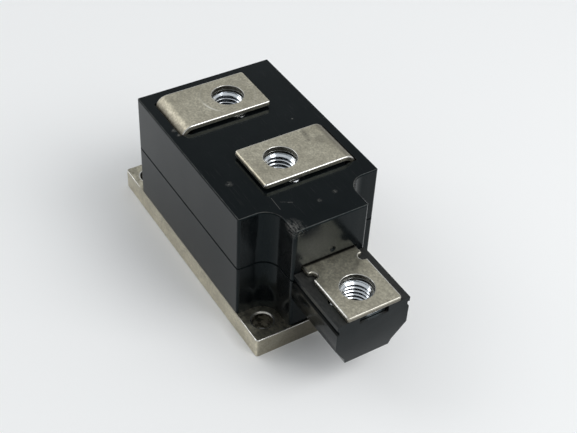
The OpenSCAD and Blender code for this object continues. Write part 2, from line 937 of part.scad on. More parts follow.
module front_gate_button() {
    gate_button(1);
}

module pressure_cap(s) {
    inner_d = spring_d + 2 * spring_clear;
    color(NATURAL_PLASTIC)
        translate([s * stack_x, 0, z_cap])
            difference() {
                cylinder(d = inner_d + 2 * cap_rim_t, h = cap_t + cap_rim_h);
                translate([0, 0, cap_t])
                    cylinder(d = inner_d, h = cap_rim_h + joint);
            }
}

module rear_pressure_cap() {
    pressure_cap(-1);
}

module front_pressure_cap() {
    pressure_cap(1);
}

module disc_springs(s) {
    color(STEEL)
        translate([s * stack_x, 0, z_springs])
            spring_pair(spring_d, spring_bore_d, spring_t, spring_cone);
}

module rear_disc_springs() {
    disc_springs(-1);
}

module front_disc_springs() {
    disc_springs(1);
}

module clamp_bridge(s) {
    spigot_r = spring_bore_d / 2 - spring_clear;
    color(STEEL)
        translate([s * stack_x, 0, z_bridge])
            rotate(clamp_turn)
                difference() {
                    union() {
                        linear_extrude(bridge_t) {
                            square([2 * clamp_reach, bridge_w], center = true);
                            circle(d = bridge_mid_d);
                            for (e = [-1, 1])
                                translate([e * clamp_reach, 0])
                                    circle(d = bridge_w);
                        }
                        translate([0, 0, -spring_t])
                            cylinder(r = spigot_r, h = spring_t + joint);
                    }
                    for (e = [-1, 1])
                        translate([e * clamp_reach, 0, -joint])
                            cylinder(d = screw_hole_d, h = bridge_t + 2 * joint);
                }
}

module rear_clamp_bridge() {
    clamp_bridge(-1);
}

module front_clamp_bridge() {
    clamp_bridge(1);
}

module clamp_screws() {
    color(STEEL)
        for (p = SCREW_PLACES)
            translate([p[0], p[1], base_t - screw_depth]) {
                cylinder(d = screw_d, h = z_head - base_t + screw_depth);
                translate([0, 0, z_head - base_t + screw_depth])
                    cylinder(d = screw_af * 2 / sqrt(3), h = screw_head_h, $fn = 6);
            }
}

module screw_sleeves() {
    color(NATURAL_PLASTIC)
        for (p = SCREW_PLACES)
            translate([p[0], p[1], base_t])
                difference() {
                    cylinder(d = screw_hole_d + 2 * sleeve_t, h = z_bridge - base_t);
                    translate([0, 0, -joint])
                        cylinder(d = screw_hole_d, h = z_bridge - base_t + 2 * joint);
                }
}

// Signal tabs and leads: the front stack's pair on the -Y side, the rear stack's pair on the +Y side

module signal_tab(y) {
    half = spade_w / 2;
    shoulder = half + spade_shoulder;
    z_tail = z_lead - lead_d / 2 - spade_tail;
    z_tip = z_shelf + spade_h;
    color(NICKEL)
        translate([spade_x, y, 0])
            difference() {
                along_x(spade_t) {
                    span(-half, z_tail, half, z_tip);
                    span(-shoulder, z_shelf_under - spade_shoulder_h, shoulder, z_shelf_under);
                }
                translate([0, 0, z_tip - half])
                    rotate([0, 90, 0])
                        cylinder(d = spade_hole_d, h = spade_t + 2 * joint, center = true);
            }
}

module rear_gate_tab() {
    signal_tab(spade_outer_y);
}

module rear_cathode_tab() {
    signal_tab(spade_inner_y);
}

module front_gate_tab() {
    signal_tab(-spade_outer_y);
}

module front_cathode_tab() {
    signal_tab(-spade_inner_y);
}

// A straight stretch of lead along x or y
module lead_stretch(a, b) {
    way = b - a;
    turn = way[0] != 0 ? [0, way[0] > 0 ? 90 : -90, 0] : [way[1] > 0 ? -90 : 90, 0, 0];
    translate(a)
        rotate(turn)
            cylinder(d = lead_d, h = norm(way));
}

// A round lead through the given points, with ball corners
module lead(points) {
    for (i = [0 : len(points) - 2])
        lead_stretch(points[i], points[i + 1]);
    for (i = [1 : 1 : len(points) - 2])
        translate(points[i])
            sphere(d = lead_d);
}

module rear_gate_lead() {
    color(GATE_LEAD)
        lead([[-stack_x - gate_head_w / 2, 0, z_lead], [lead_rear_x, 0, z_lead],
            [lead_rear_x, spade_outer_y, z_lead], [lead_tab_x, spade_outer_y, z_lead]]);
}

module rear_cathode_lead() {
    color(CATHODE_LEAD)
        lead([[common_rear_x, spade_inner_y, z_high_lead], [lead_tab_x, spade_inner_y, z_high_lead]]);
}

module front_gate_lead() {
    color(GATE_LEAD)
        lead([[stack_x, -gate_head_w / 2, z_lead], [stack_x, -lead_side_y, z_lead],
            [lead_end_x, -lead_side_y, z_lead], [lead_end_x, -spade_outer_y, z_lead],
            [lead_tab_x, -spade_outer_y, z_lead]]);
}

module front_cathode_lead() {
    color(CATHODE_LEAD)
        lead([[front_tab_x, -leg_reach, z_high_lead], [front_tab_x, -lead_side_y, z_high_lead],
            [lead_end_x, -lead_side_y, z_high_lead], [lead_end_x, -spade_inner_y, z_high_lead],
            [lead_tab_x, -spade_inner_y, z_high_lead]]);
}

base_plate();
lower_housing();
upper_housing();
common_busbar();
front_top_busbar();
rear_top_busbar();
terminal_nuts();
rear_ceramic_disc();
front_ceramic_disc();
rear_lower_disc();
front_lower_disc();
rear_thyristor_pellet();
front_thyristor_pellet();
rear_contact_disc();
front_contact_disc();
rear_gate_bush();
front_gate_bush();
rear_gate_pin();
front_gate_pin();
rear_gate_spring();
front_gate_spring();
rear_gate_button();
front_gate_button();
rear_pressure_cap();
front_pressure_cap();
rear_disc_springs();
front_disc_springs();
rear_clamp_bridge();
front_clamp_bridge();
clamp_screws();
screw_sleeves();
rear_gate_tab();
rear_cathode_tab();
front_gate_tab();
front_cathode_tab();
rear_gate_lead();
rear_cathode_lead();
front_gate_lead();
front_cathode_lead();
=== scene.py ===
"""Looks of the thyristor module: rounded edges, threaded nuts, worn plastic and plating, studio
and camera."""
import json
import math

import bmesh
import bpy
from mathutils import Matrix, Vector


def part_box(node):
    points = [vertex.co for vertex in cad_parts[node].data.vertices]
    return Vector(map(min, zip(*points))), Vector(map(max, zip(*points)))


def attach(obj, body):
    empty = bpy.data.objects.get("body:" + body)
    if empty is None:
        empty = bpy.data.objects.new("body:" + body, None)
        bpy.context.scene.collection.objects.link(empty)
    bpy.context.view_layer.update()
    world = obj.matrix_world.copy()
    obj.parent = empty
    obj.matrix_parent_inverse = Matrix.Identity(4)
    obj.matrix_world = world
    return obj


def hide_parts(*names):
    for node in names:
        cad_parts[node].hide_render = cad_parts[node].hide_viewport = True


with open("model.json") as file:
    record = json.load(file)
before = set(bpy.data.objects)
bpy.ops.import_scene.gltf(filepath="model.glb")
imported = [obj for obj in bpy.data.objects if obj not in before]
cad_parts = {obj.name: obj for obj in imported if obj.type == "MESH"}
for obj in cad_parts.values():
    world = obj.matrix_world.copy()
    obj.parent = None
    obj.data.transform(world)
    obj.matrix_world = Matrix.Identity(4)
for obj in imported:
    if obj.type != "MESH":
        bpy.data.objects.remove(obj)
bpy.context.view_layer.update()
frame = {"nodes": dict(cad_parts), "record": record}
nodes = frame["nodes"]
slot_of = {part["node"]: part["material_slot"] for part in frame["record"]["subparts"]}
mounts = {mount["name"]: mount for mount in frame["record"]["mounts"]}

MM = 0.001

# Camera, as fitted to the photograph: direction, roll, focal length and the origin's place
VIEW_AZIMUTH = math.radians(56.567)
VIEW_ELEVATION = math.radians(42.011)
VIEW_ROLL = math.radians(3.299)
VIEW_DISTANCE = 380.313 * MM
ORIGIN_RIGHT = -12.979 * MM
ORIGIN_DOWN = 8.215 * MM
SENSOR = 36.0
LENS = 68.378
CLIP_NEAR, CLIP_FAR = 0.01, 20

# The three screw terminals, with the angle in degrees at which a corner of their nut points
NUT_CORNERS = {"rear_top_terminal": 0, "front_top_terminal": 0, "low_front_terminal": 30}
TOP_TERMINALS = ("rear_top_terminal", "front_top_terminal")
terminal_at = {name: Vector(mounts[name]["pos_m"]) for name in NUT_CORNERS}

# Distance from a terminal's axis that takes in the rim of the tab's hole, and one for its wall
TERMINAL_REACH = 5.6 * MM
TAB_HOLE_WALL = 5.32 * MM

# Nuts: width across flats, height, radius of the round end face, its chamfer, the bore's
# countersink, and the steps round the axis
NUT_ACROSS = 17.0 * MM
NUT_HEIGHT = 8.0 * MM
NUT_FACE_R = 8.0 * MM
NUT_CHAMFER = math.radians(30)
NUT_SINK = 0.6 * MM
NUT_STEPS = 96

# Thread of the nuts: M10 with the coarse pitch. The rows are the corners of its section as shares
# of one pitch: the crest's start and end, then the root's start and end
THREAD_PITCH = 1.5 * MM
THREAD_ROOT_R = 5.0 * MM
THREAD_ROWS = (0.0, 0.25, 0.5625, 0.6875)

# Axis of a mounting hole in one quarter of the plate, and a radius that takes in its wall
MOUNT_HOLE = (40 * MM, 19 * MM)
MOUNT_HOLE_REACH = 3.4 * MM

# Depth of the groove between the housings, and how far the lid reaches down behind it
JOINT_DEPTH = 0.40 * MM
JOINT_FILL = 0.28 * MM

# Radii of the rounded edges, and of the rims of the bars' holes
PLATE_EDGE_R = 0.50 * MM
LOWER_EDGE_R = 0.30 * MM
LID_EDGE_R = 0.12 * MM
BAR_EDGE_R = 0.45 * MM
BAR_RIM_R = 0.18 * MM
TAB_EDGE_R = 0.12 * MM

# Corners closer than this are joined: in most CAD meshes, in the bars' bends, and in the nuts
MERGE = 0.002 * MM
BAR_MERGE = 0.06 * MM
NUT_MERGE = 0.001 * MM

# Angles in degrees: faces this flat are joined, edges this sharp are rounded, and shading
# breaks at edges sharper than the last two
FLAT_ANGLE = 0.6
SHARP_ANGLE = 38
CREASE_ANGLE = 34
NUT_CREASE_ANGLE = 24


class Shader:
    """Node tree of a material or world, with short calls for the nodes that the looks share."""

    def __init__(self, owner, end="Principled BSDF", place="Object"):
        owner.use_nodes = True
        self.owner = owner
        self.tree = owner.node_tree
        self.end = self.tree.nodes[end]
        self.place = self.node("TexCoord").outputs[place]

    def node(self, kind, inputs=None, **settings):
        """A new node with its settings, and with values or links on its inputs."""
        made = self.tree.nodes.new("ShaderNode" + kind)
        for key, value in settings.items():
            setattr(made, key, value)
        for key, value in (inputs or {}).items():
            self.feed(made.inputs[key], value)
        return made

    def feed(self, socket, value):
        if isinstance(value, bpy.types.NodeSocket):
            self.tree.links.new(value, socket)
        else:
            socket.default_value = value

    def set(self, **values):
        """Feeds inputs of the shader at the tree's end. Their names have _ for a space."""
        for key, value in values.items():
            self.feed(self.end.inputs[key.replace("_", " ")], value)

    def math(self, operation, *values):
        """The values taken together by one operation, from left to right."""
        total = values[0]
        for value in values[1:]:
            total = self.node("Math", {0: total, 1: value}, operation=operation).outputs[0]
        return total

    def add(self, *values):
        return self.math("ADD", *values)

    def times(self, *values):
        return self.math("MULTIPLY", *values)

    def most(self, *values):
        return self.math("MAXIMUM", *values)

    def outside(self, mask):
        """1 where a mask is 0, and 0 where it is 1."""
        return self.math("SUBTRACT", 1.0, mask)

    def vector(self, operation, a, b=(0, 0, 0), output="Vector"):
        return self.node("VectorMath", {0: a, 1: b}, operation=operation).outputs[output]

    def axes(self, vector=None):
        """X, Y and Z of a vector, or else of the place on the part."""
        return self.node("SeparateXYZ", {0: vector or self.place}).outputs

    def mirrored(self):
        """The place on the part without its signs, so that opposite sides read the same."""
        return self.vector("ABSOLUTE", self.place)

    def rise(self):
        """How far the surface faces up: 1 on a floor, 0 on a wall, between on a rounded edge."""
        return self.axes(self.node("NewGeometry").outputs["Normal"])["Z"]

    def stretch(self, x=1.0, y=1.0, z=1.0):
        """The place on the part with scaled axes. A small scale draws a pattern out."""
        return self.node("Mapping", {"Vector": self.place, "Scale": (x, y, z)}).outputs[0]

    def noise(self, size, detail=3.0, rough=0.55, vector=None):
        """Cloudy noise from 0 to 1 with features of about the given size in metres."""
        place = vector or self.place
        inputs = {"Vector": place, "Scale": 1 / size, "Detail": detail, "Roughness": rough}
        return self.node("TexNoise", inputs).outputs[0]

    def span(self, value, low, high, to_low=0.0, to_high=1.0):
        """Maps low..high to to_low..to_high, and holds the ends."""
        inputs = {"Value": value, "From Min": low, "From Max": high,
                  "To Min": to_low, "To Max": to_high}
        return self.node("MapRange", inputs, clamp=True).outputs[0]

    def band(self, value, low, high, fade):
        """1 between two limits, fading to 0 at each of them."""
        return self.times(self.span(value, low, low + fade), self.span(value, high, high - fade))

    def mix(self, share, a, b):
        made = self.node("Mix", {"Factor": share}, data_type="RGBA")
        self.feed(made.inputs[6], a)
        self.feed(made.inputs[7], b)
        return made.outputs[2]

    def distance(self, point, place=None):
        return self.vector("DISTANCE", place or self.place, point, "Value")

    def spot(self, point, radius, soft=0.6):
        """1 inside a ball about a point, fading to 0 over the soft share of its radius."""
        return self.span(self.distance(point), radius * (1 - soft), radius, 1.0, 0.0)

    def column(self, point, radius, place=None):
        """1 inside an upright cylinder about a point, 0 outside."""
        flat = self.vector("MULTIPLY", place or self.place, (1, 1, 0))
        away = self.distance((point[0], point[1], 0), flat)
        return self.span(away, radius, radius * 1.02, 1.0, 0.0)

    def line(self, start, end, width):
        """1 on a straight scratch from start to end, fading across its width."""
        start, end = Vector(start), Vector(end)
        way = end - start
        offset = self.vector("SUBTRACT", self.place, start)
        along = self.vector("DOT_PRODUCT", offset, way / way.length_squared, "Value")
        share = self.node("Clamp", {"Value": along}).outputs[0]
        foot = self.node("VectorMath", {0: way, "Scale": share}, operation="SCALE").outputs[0]
        return self.span(self.distance(foot, offset), width * 0.3, width, 1.0, 0.0)

    def bump(self, *layers):
        """Stacks bump layers, each a height, a depth in metres and a strength, on the normal."""
        normal = None
        for height, depth, strength in layers:
            inputs = {"Height": height, "Distance": depth, "Strength": strength}
            if normal is not None:
                inputs["Normal"] = normal
            normal = self.node("Bump", inputs).outputs[0]
        self.set(Normal=normal)


def new_shader(name):
    return Shader(bpy.data.materials.new(name))


def tint(r, g, b):
    return (r, g, b, 1.0)


def on(level, x, y):
    """A point at a level in metres, with its place there in millimetres."""
    return (x * MM, y * MM, level)


# Plastic of the housings

# Marks on the lid's top in millimetres: x, y, radius and, for a smear, the share of it that fades
LID_CHIPS = ((-0.4, 14.5, 0.4), (-13.0, -22.1, 0.5), (-9.9, -21.7, 0.6), (18.6, -19.5, 0.4))
LID_SMEARS = (
    (18.5, -19.3, 1.5, 0.9), (36.4, 7.0, 1.0, 0.9), (37.7, 0.8, 0.9, 0.9),
    (-12.8, -21.9, 1.2, 0.6), (-10.0, -21.9, 0.9, 0.6),
)

# Heights between which the housings' joint has no painted edge highlight, and those of its dull
# groove
JOINT_BAND = (26.0 * MM, 27.4 * MM)
GROOVE_BAND = (26.40 * MM, 27.35 * MM)
JOINT_FADE = 0.2 * MM

# Where the top of the low front block starts. Dust: cells to a metre, and a speck's share of one
BLOCK_START, BLOCK_FADE = 46.4 * MM, 0.3 * MM
DUST_CELLS = 260.0
DUST_SIZE = 0.04


def lid_marks(s, top):
    """The chips, smears and two scratches on the lid's top."""
    patchy = s.span(s.noise(0.9 * MM, 4.0, 0.7), 0.40, 0.65)
    long_scratch = s.line(on(top, 30.1, -11.4), on(top, 35.6, -11.6), 0.14 * MM)
    short_scratch = s.line(on(top, 32.9, -9.9), on(top, 34.6, -6.8), 0.30 * MM)
    chips = [s.spot(on(top, x, y), radius * MM) for x, y, radius in LID_CHIPS]
    smears = [s.spot(on(top, x, y), radius * MM, soft) for x, y, radius, soft in LID_SMEARS]
    broken = s.times(s.most(short_scratch, *smears), patchy)
    return s.most(s.times(long_scratch, 0.7), broken, *chips)


def black_plastic():
    """Glossy black moulding with smudges, fine scratches, dust and the photograph's scuffs."""
    s = new_shader("black_plastic")
    front, _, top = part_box("upper_housing")[1]
    place, facing = s.axes(), s.rise()
    smudge = s.noise(13 * MM, 4.0, 0.62)
    wave = s.noise(8 * MM, 1.0)
    grain = s.noise(1.1 * MM, 2.0)
    rubs = s.noise(0.9 * MM, 2.0, 0.5, s.stretch(x=0.12))
    flow = s.noise(4.5 * MM, 2.0, 0.5, s.stretch(z=0.12))
    streaks = s.noise(0.7 * MM, 4.0, 0.7, s.stretch(x=0.35))
    hairs = s.span(s.noise(0.30 * MM, 2.0, 0.5, s.stretch(x=0.04)), 0.64, 0.74)

    # Tower's scuffed corner, dust, and painted highlights on upward edges in places, not at the
    # joint
    corner = s.spot((front - 2.2 * MM, -12.2 * MM, top), 4.2 * MM, 0.8)
    scuff = s.times(corner, s.span(streaks, 0.44, 0.64))
    cells = s.node("TexVoronoi", {"Vector": s.place, "Scale": DUST_CELLS}, feature="F1")
    speck = s.math("LESS_THAN", cells.outputs["Distance"], DUST_SIZE)
    # Painted highlight on rounded edges that face up, broken up by noise and left off along the
    # joint
    edge = s.times(
        s.span(facing, 0.62, 0.72), s.span(facing, 0.97, 0.92),
        s.span(s.noise(4 * MM, 4.0, 0.7), 0.35, 0.65, 0.25, 1.0),
        s.outside(s.band(place["Z"], *JOINT_BAND, JOINT_FADE)),
    )

    # Haze on the low block's top and the tower's face, and faint runs down the walls
    block = s.times(
        s.span(place["X"], BLOCK_START, BLOCK_START + BLOCK_FADE), s.span(facing, 0.80, 0.95),
    )
    face = s.spot((front, -6.0 * MM, 37.5 * MM), 9.5 * MM, 0.8)
    veil = s.most(s.times(block, 0.23), s.times(face, 0.20))
    haze = s.times(veil, s.span(streaks, 0.30, 0.70, 0.5, 1.0))
    runs = s.times(s.span(facing, 0.40, 0.30), s.span(flow, 0.42, 0.66, 0.0, 0.025))

    # Dull places: the groove of the joint up to the tower's face, and the mark that the mould left
    groove = s.times(
        s.band(place["Z"], *GROOVE_BAND, JOINT_FADE),
        s.span(place["X"], front + 0.2 * MM, front + 0.1 * MM),
    )
    mould_mark = s.spot((front, -10.3 * MM, 35.6 * MM), 0.8 * MM, 0.8)

    # Wear, marks and dust, together with the painted edge highlight
    worn = s.add(
        s.times(scuff, 0.75), s.times(lid_marks(s, top), 0.58), s.times(speck, 0.05),
        s.times(edge, 0.40), haze, runs, s.times(hairs, 0.05),
    )
    base = s.mix(
        s.span(smudge, 0.35, 0.7), tint(0.0020, 0.0027, 0.0031), tint(0.0038, 0.0049, 0.0055),
    )
    s.set(Base_Color=s.mix(s.math("MINIMUM", worn, 1.0), base, tint(0.16, 0.155, 0.145)))
    gloss = s.span(smudge, 0.3, 0.75, 0.12, 0.22)
    s.set(Roughness=s.add(
        gloss, s.times(worn, 0.35), s.times(mould_mark, 0.5), s.times(groove, 0.6),
    ))
    s.set(IOR=1.32, Specular_Tint=tint(0.17, 0.30, 0.34))
    s.bump(
        (wave, 0.1 * MM, 0.12), (flow, 0.1 * MM, 0.10), (grain, 0.02 * MM, 0.14),
        (rubs, 0.015 * MM, 0.10), (scuff, 0.1 * MM, 0.4),
    )
    return s.owner


# Plating of the base plate, busbars and tabs

# Colours of painted shade on the plating, and of the painted shadow on the low tab at its slot
SHADED_PLATE = tint(0.10, 0.092, 0.075)
SLOT_SHADOW = tint(0.02, 0.02, 0.02)

# Top tabs: the heights at which they come clear of the lid, and how far out they bend. In these
# and the limits below, a mask goes from 0 at the first to 1 at the second
LID_CLEAR = (40 * MM, 41 * MM)
BEND_REACH = (13.0 * MM, 18.5 * MM)
FAR_BEND_REACH = (16.8 * MM, 18.0 * MM)

# The low tab's slot: its lowest and highest point, and how far out it shades the tab
SLOT_BAND, SLOT_FADE = (31.0 * MM, 32.5 * MM), 0.2 * MM
SLOT_REACH = (47.2 * MM, 46.6 * MM)

# The low tab's front end, in painted shade: how far out it is, and how far below the tab's top it
# starts
LIP_REACH = (70.0 * MM, 70.6 * MM)
LIP_DEPTH = (0.3 * MM, 0.6 * MM)

# The base plate's ends, with painted shade that is darker towards the middle of their width
PLATE_END = (46.6 * MM, 46.9 * MM)
PLATE_END_MIDDLE = (18 * MM, 9 * MM)

# Edges in painted shade: the base plate's beside the housing, and the low tab's at its root and tip
PLATE_SHELTER = (38.5 * MM, 35.0 * MM)
PLATE_SHELTER_TOP = (8.5 * MM, 8.0 * MM)
LOW_TAB_BAND, LOW_TAB_FADE = (29 * MM, 33 * MM), 1 * MM
LOW_TAB_ROOT = (52.0 * MM, 50.5 * MM)
LOW_TAB_TIP = (69.5 * MM, 70.0 * MM)


def low_lip_shade(s, far):
    """Mask of painted shade: 1 on the low tab's front end, below its upper edge."""
    low_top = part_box("common_busbar")[1].z
    below = s.span(far["Z"], *(low_top - depth for depth in LIP_DEPTH))
    return s.times(s.span(far["X"], *LIP_REACH), below)


def nickel_plate():
    """Satin plating, slightly warm, with clouding, grain, dents and the ring that a washer left."""
    s = new_shader("nickel_plate")
    mirrored = s.mirrored()
    place, far = s.axes(), s.axes(mirrored)
    height = place["Z"]
    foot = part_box("base_plate")[1].z
    low_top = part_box("common_busbar")[1].z
    tab_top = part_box("rear_top_busbar")[1].z
    cloud = s.noise(9 * MM, 4.0, 0.6)
    fine = s.noise(0.7 * MM, 3.0, 0.65)
    pits = s.noise(1.6 * MM, 3.0, 0.7)
    mottle = s.noise(2.0 * MM, 4.0, 0.70)
    on_tabs = s.span(height, foot, foot + 1 * MM, 0.65, 1.0)

    # The ring round the rear tab's hole, clear on one side and faint elsewhere
    rear = terminal_at["rear_top_terminal"]
    reach = s.distance((rear.x, rear.y, tab_top))
    rubbed = s.spot((rear.x + 3.6 * MM, rear.y - 8.5 * MM, tab_top), 4.8 * MM, 0.7)
    ring = s.times(s.band(reach, 8.7 * MM, 9.6 * MM, 0.3 * MM), s.most(rubbed, 0.12))

    # Dents and smears on the tabs, and grime on the base plate's top
    dents = s.most(
        s.spot(on(tab_top, 11.0, 12.3), 0.6 * MM), s.spot(on(tab_top, 14.1, 10.4), 0.5 * MM),
    )
    streak = s.line(on(low_top, 52.2, 6.6), on(low_top, 54.7, 3.0), 1.2 * MM)
    smear = s.most(
        s.spot(on(tab_top, 15.7, 15.3), 3.0 * MM, 0.9),
        s.line(on(tab_top, 9.6, 12.1), on(tab_top, 14.0, 11.7), 1.1 * MM),
        s.times(streak, 0.8),
    )
    smear = s.times(smear, s.span(pits, 0.38, 0.56, 0.4, 1.0))
    grime = s.times(
        s.span(height, foot - 0.3 * MM, foot - 0.1 * MM), s.span(height, foot + 1 * MM, foot),
        s.span(s.noise(3 * MM, 4.0, 0.65), 0.40, 0.62),
    )

    # Painted shade in the walls of the mounting holes, patchy with dirt, and in the tabs' holes
    dirt_and_shade = s.span(s.noise(2.2 * MM, 3.0, 0.65), 0.42, 0.56, 0.45, 0.97)
    bore_shade_and_dirt = s.times(s.column(MOUNT_HOLE, MOUNT_HOLE_REACH, mirrored), dirt_and_shade)
    hole_wall_shade = s.most(*(s.column(centre, TAB_HOLE_WALL) for centre in terminal_at.values()))

    # Painted shade: on the top tabs' bends, the low tab at its slot and the base plate's ends
    clear = s.span(height, *LID_CLEAR)
    bend_shade = s.times(s.span(far["Y"], *BEND_REACH), clear)
    far_bend_shade = s.times(s.span(place["Y"], *FAR_BEND_REACH), clear)
    slot = s.times(s.band(height, *SLOT_BAND, SLOT_FADE), s.span(far["X"], *SLOT_REACH))
    end = s.times(
        s.span(far["X"], *PLATE_END), s.span(height, foot, foot - 0.2 * MM),
        s.span(far["Y"], *PLATE_END_MIDDLE, 0.50, 0.78),
    )

    # What lies over the plain plating, from the lowest up, marks, dirt and painted shade alike: a
    # layer's mask, strength and colour
    layers = (
        (s.times(s.span(mottle, 0.38, 0.62), on_tabs), 0.42, tint(0.33, 0.30, 0.235)),
        (s.times(s.span(fine, 0.38, 0.64), on_tabs), 0.55, tint(0.27, 0.25, 0.20)),
        (s.times(s.span(pits, 0.58, 0.74), on_tabs), 0.42, tint(0.30, 0.27, 0.22)),
        (smear, 0.65, tint(0.20, 0.185, 0.155)),
        (grime, 0.65, tint(0.10, 0.09, 0.075)),
        (dents, 0.50, tint(0.22, 0.205, 0.17)),
        (ring, 0.70, tint(1.0, 0.97, 0.88)),
        (bore_shade_and_dirt, 1.00, tint(0.055, 0.050, 0.036)),
        (hole_wall_shade, 0.75, tint(0.06, 0.055, 0.045)),
        (bend_shade, 0.06, tint(0.24, 0.225, 0.18)),
        (far_bend_shade, 0.60, SHADED_PLATE),
        (slot, 0.90, SLOT_SHADOW),
        (end, 1.00, SHADED_PLATE),
        (low_lip_shade(s, far), 0.80, SHADED_PLATE),
    )
    base = s.mix(s.span(cloud, 0.3, 0.7), tint(0.60, 0.556, 0.432), tint(0.84, 0.788, 0.632))
    for mask, strength, colour in layers:
        base = s.mix(s.times(mask, strength), base, colour)
    s.set(Base_Color=base, Metallic=1.0)
    satin = s.span(s.add(cloud, s.times(fine, 0.4)), 0.4, 1.1, 0.30, 0.44)
    s.set(Roughness=s.add(satin, s.times(bend_shade, 0.10)))
    s.bump((fine, 0.04 * MM, 0.40), (pits, 0.04 * MM, 0.22), (ring, 0.05 * MM, 0.3))
    return s.owner


def nickel_edge():
    """The plating's edges, rubbed brighter and smoother than its faces, with painted shade and more
    roughness in the shelter of the housing and at the low tab's ends."""
    s = new_shader("nickel_edge")
    far = s.axes(s.mirrored())
    rub = s.noise(2.5 * MM, 4.0, 0.65)
    lip_shade = low_lip_shade(s, far)
    by_housing = s.times(
        s.span(far["X"], *PLATE_SHELTER), s.span(far["Z"], *PLATE_SHELTER_TOP),
    )
    tab_ends = s.times(
        s.band(far["Z"], *LOW_TAB_BAND, LOW_TAB_FADE),
        s.most(s.span(far["X"], *LOW_TAB_ROOT), s.span(far["X"], *LOW_TAB_TIP)),
    )
    # Painted shade and more roughness in the shelter of the housing and at the low tab's ends, and
    # painted shade on its front end
    shade_in_shelter = s.times(s.most(by_housing, s.times(tab_ends, 0.75)), s.outside(lip_shade))
    bright = s.mix(s.span(rub, 0.35, 0.65), tint(0.58, 0.565, 0.52), tint(0.88, 0.87, 0.83))
    bright = s.mix(s.times(lip_shade, 0.8), bright, SHADED_PLATE)
    s.set(Base_Color=s.mix(s.times(shade_in_shelter, 0.9), bright, tint(0.30, 0.28, 0.22)), Metallic=1.0)
    s.set(Roughness=s.add(s.span(rub, 0.3, 0.7, 0.32, 0.20), s.times(shade_in_shelter, 0.15)))
    s.bump((s.noise(0.5 * MM, 3.0), 0.03 * MM, 0.25))
    return s.owner


# Zinc plate of the nuts, and the pieces inside the housing

def zinc_steel():
    """Bright zinc plate with a cool, slightly cloudy finish, and painted shade where a pocket
    shades a nut.
    """
    s = new_shader("zinc_steel")
    cloud = s.noise(2.2 * MM, 3.0)
    fine = s.noise(0.4 * MM, 2.0)
    flat_r, corner_r, upper = NUT_ACROSS / 2, NUT_ACROSS / math.sqrt(3), NUT_HEIGHT / 2

    # Painted shade on the low nut's flat in the front window round a gleam left unshaded, and on
    # the corners at its sides
    low = terminal_at["low_front_terminal"]
    window = s.spot(low + Vector((flat_r, 0, upper)), 7.0 * MM, 0.3)
    gleam = s.spot(low + Vector((flat_r, 0.5 * MM, upper)), 3.4 * MM, 0.35)
    shades = [s.times(window, s.outside(s.column(low, NUT_FACE_R)), s.outside(gleam))]
    for side in (-1, 1):
        shades.append(s.spot(low + Vector((0, side * corner_r, upper)), 3.0 * MM, 0.2))
    # Painted shade on the top nuts' front corners
    for name in TOP_TERMINALS:
        corner = terminal_at[name] + Vector((corner_r, 0, upper))
        shades.append(s.times(s.spot(corner, 1.8 * MM, 0.3), 0.8))

    base = s.mix(cloud, tint(0.78, 0.82, 0.87), tint(0.90, 0.93, 0.96))
    shaded = s.times(s.most(*shades), 0.85)
    s.set(Base_Color=s.mix(shaded, base, tint(0.05, 0.05, 0.05)), Metallic=1.0)
    s.set(Roughness=s.span(cloud, 0.3, 0.7, 0.10, 0.22))
    s.bump((fine, 0.02 * MM, 0.15))
    return s.owner


def inner_metal(name, dark, light, rough, grain):
    """Turned or drawn metal inside the housing."""
    s = new_shader(name)
    cloud = s.noise(4 * MM, 3.0)
    lines = s.noise(grain, 3.0, 0.6, s.stretch(z=0.1))
    s.set(Base_Color=s.mix(cloud, dark, light), Metallic=1.0)
    s.set(Roughness=s.span(lines, 0.3, 0.7, rough, rough + 0.15))
    s.bump((lines, 0.02 * MM, 0.2))
    return s.owner


def inner_insulator(name, dark, light, rough, grain):
    """Moulded plastic, ceramic, silicon or wire covering inside the housing."""
    s = new_shader(name)
    cloud = s.noise(5 * MM, 3.0)
    fine = s.noise(grain, 2.0)
    s.set(Base_Color=s.mix(cloud, dark, light))
    s.set(Roughness=s.span(fine, 0.3, 0.7, rough, rough + 0.12))
    s.bump((fine, 0.02 * MM, 0.2))
    return s.owner


# Inner materials: kind, dark and light colour, roughness, and size of the grain in millimetres
INNER = {
    "plain_steel": (inner_metal, (0.36, 0.37, 0.39), (0.50, 0.51, 0.53), 0.30, 0.6),
    "molybdenum": (inner_metal, (0.42, 0.43, 0.45), (0.54, 0.55, 0.57), 0.35, 0.5),
    "copper": (inner_metal, (0.70, 0.36, 0.20), (0.85, 0.50, 0.32), 0.28, 0.6),
    "brass": (inner_metal, (0.72, 0.54, 0.20), (0.85, 0.68, 0.32), 0.25, 0.5),
    "silicon": (inner_insulator, (0.14, 0.16, 0.21), (0.21, 0.23, 0.28), 0.12, 0.8),
    "natural_plastic": (inner_insulator, (0.72, 0.68, 0.55), (0.84, 0.80, 0.69), 0.40, 0.8),
    "ceramic": (inner_insulator, (0.84, 0.82, 0.77), (0.92, 0.91, 0.88), 0.35, 0.6),
    "white_lead": (inner_insulator, (0.82, 0.82, 0.77), (0.91, 0.91, 0.88), 0.42, 0.7),
    "red_lead": (inner_insulator, (0.50, 0.04, 0.03), (0.66, 0.07, 0.05), 0.42, 0.7),
}

materials = {
    "black_plastic": black_plastic(),
    "nickel_plate": nickel_plate(),
    "zinc_steel": zinc_steel(),
}
for slot, (make, dark, light, rough, grain) in INNER.items():
    materials[slot] = make(slot, tint(*dark), tint(*light), rough, grain * MM)


# Pieces

def new_object(name, data):
    made = bpy.data.objects.new(name, data)
    bpy.context.scene.collection.objects.link(made)
    return made


def show(mesh, name, slot, *stands_for):
    """Adds a finished mesh as a piece that stands for CAD nodes."""
    piece = new_object(name, mesh)
    mesh.materials.append(materials[slot])
    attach(piece, "root")
    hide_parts(*stands_for)
    return piece


